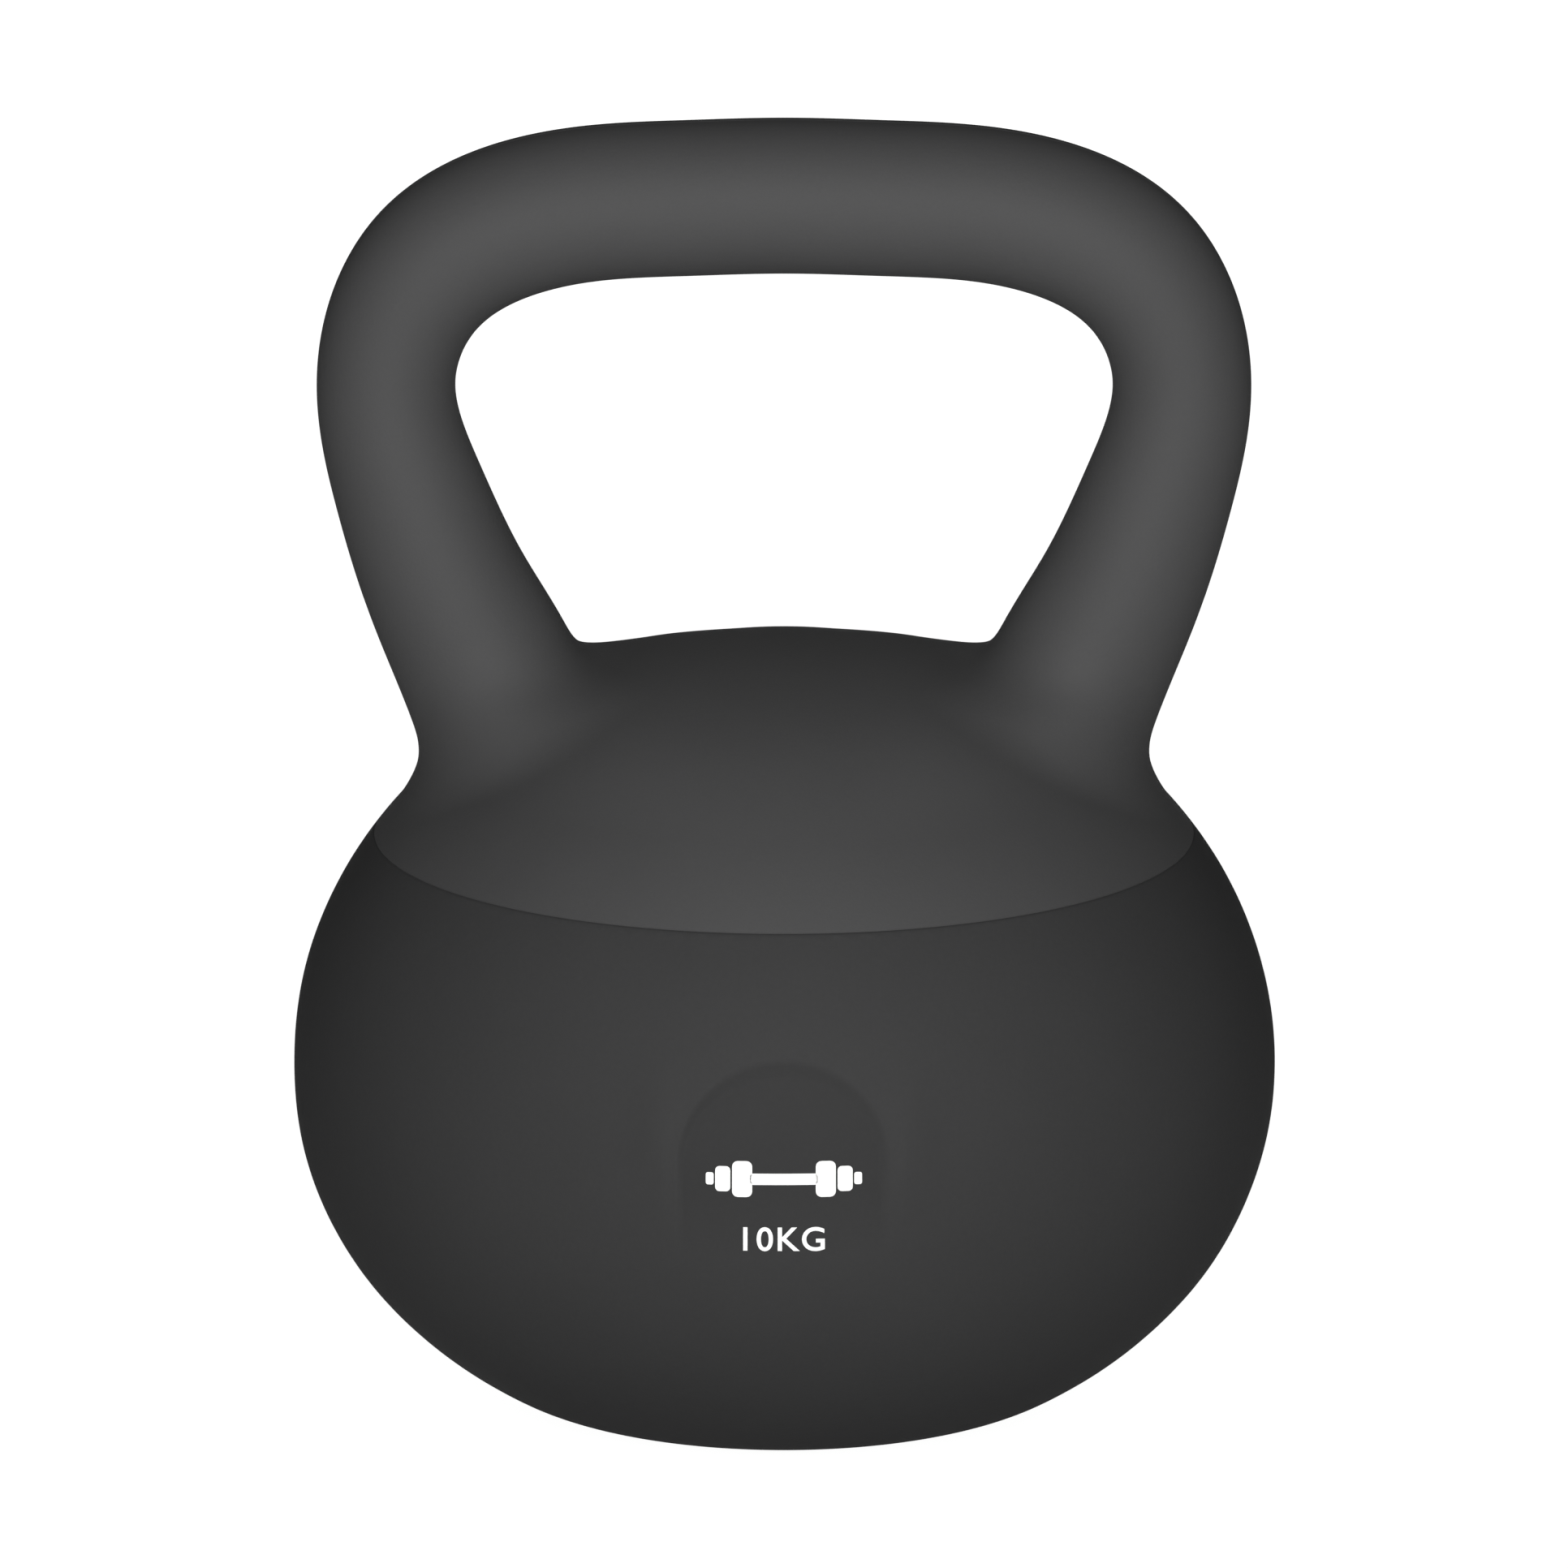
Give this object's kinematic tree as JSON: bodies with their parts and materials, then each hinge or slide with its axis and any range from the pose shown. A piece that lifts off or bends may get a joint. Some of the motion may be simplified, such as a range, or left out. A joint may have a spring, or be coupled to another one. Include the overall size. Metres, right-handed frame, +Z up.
{
  "type": "kettlebell",
  "caption": "Soft kettlebell: a looped handle and shoulder in one grey moulding, joined to a darker soft ball that is filled with iron sand and stands on a flat base.",
  "frame": {"origin": "middle of the flat base, on the floor", "axes": "+Z up towards the grip, +X along the grip, the recess and its print on the -Y front"},
  "size_m": [0.208, 0.2072, 0.28],
  "materials": {
    "handle_plastic": "matte",
    "soft_skin": "matte",
    "core_steel": "satin",
    "plated_steel": "satin",
    "ring_plastic": "matte",
    "packing_foam": "matte",
    "iron_sand": "matte",
    "plug_rubber": "matte",
    "seal_rubber": "matte"
  },
  "bodies": {
    "root": {"handle_and_shoulder": "handle_plastic", "handle_core": "core_steel", "anchor_plate": "plated_steel", "core_washers": "plated_steel", "core_nuts": "plated_steel", "joint_ring": "ring_plastic", "packing_foam": "packing_foam", "ball_skin": "soft_skin", "iron_sand": "iron_sand", "fill_plug": "plug_rubber", "plug_washer": "seal_rubber"}
  },
  "joints": []
}
